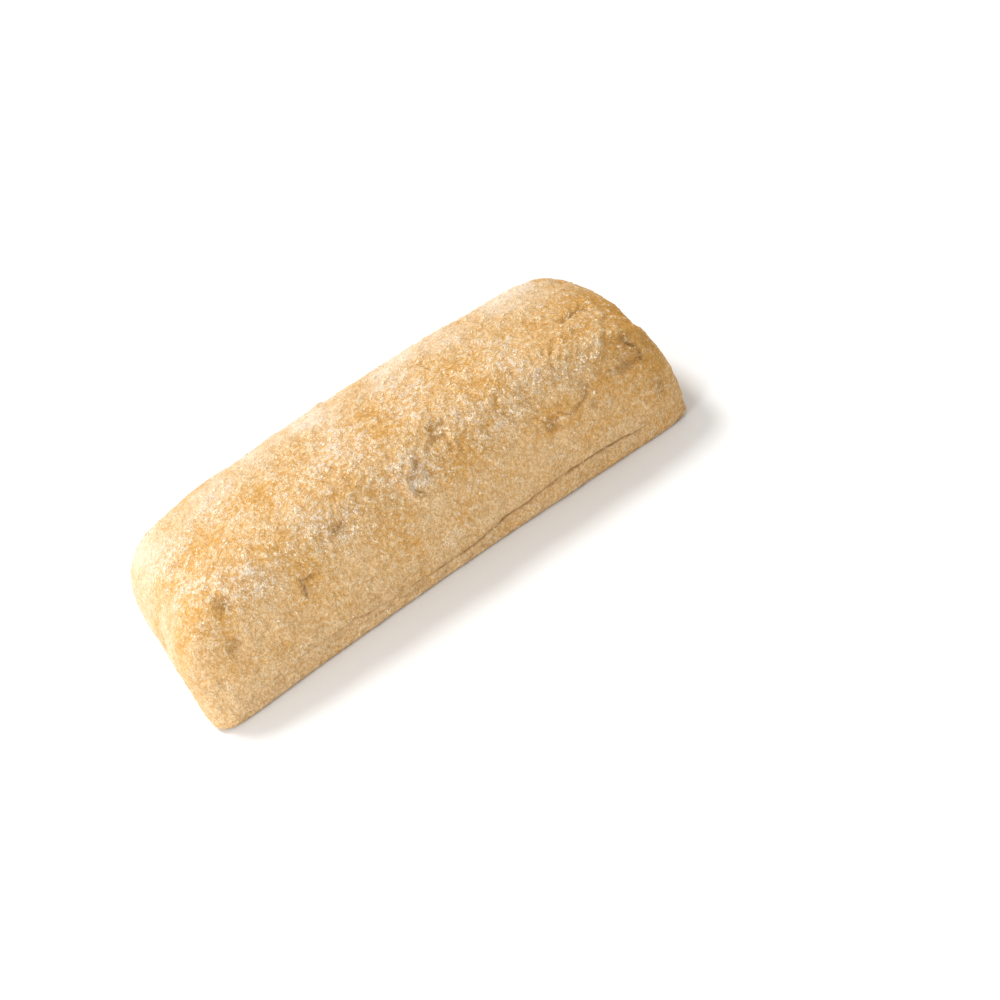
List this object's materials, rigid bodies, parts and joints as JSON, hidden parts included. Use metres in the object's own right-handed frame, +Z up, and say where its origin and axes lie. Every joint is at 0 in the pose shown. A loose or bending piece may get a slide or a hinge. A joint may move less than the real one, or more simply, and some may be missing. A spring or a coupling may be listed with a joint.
{
  "type": "hoagie roll",
  "caption": "Long bread roll with blunt ends, a domed floury crust, a crease low along each side and a flat base.",
  "frame": {"origin": "middle of the flat base, at the middle of the roll's length and width", "axes": "+X along the roll towards its pinched end, +Y across it, +Z up out of the base"},
  "size_m": [0.19, 0.072, 0.048],
  "materials": {
    "floury_crust": "matt baked crust, golden under a dusting of flour, browner at the ends"
  },
  "bodies": {
    "root": {"hoagie_roll": "floury_crust"}
  },
  "joints": []
}
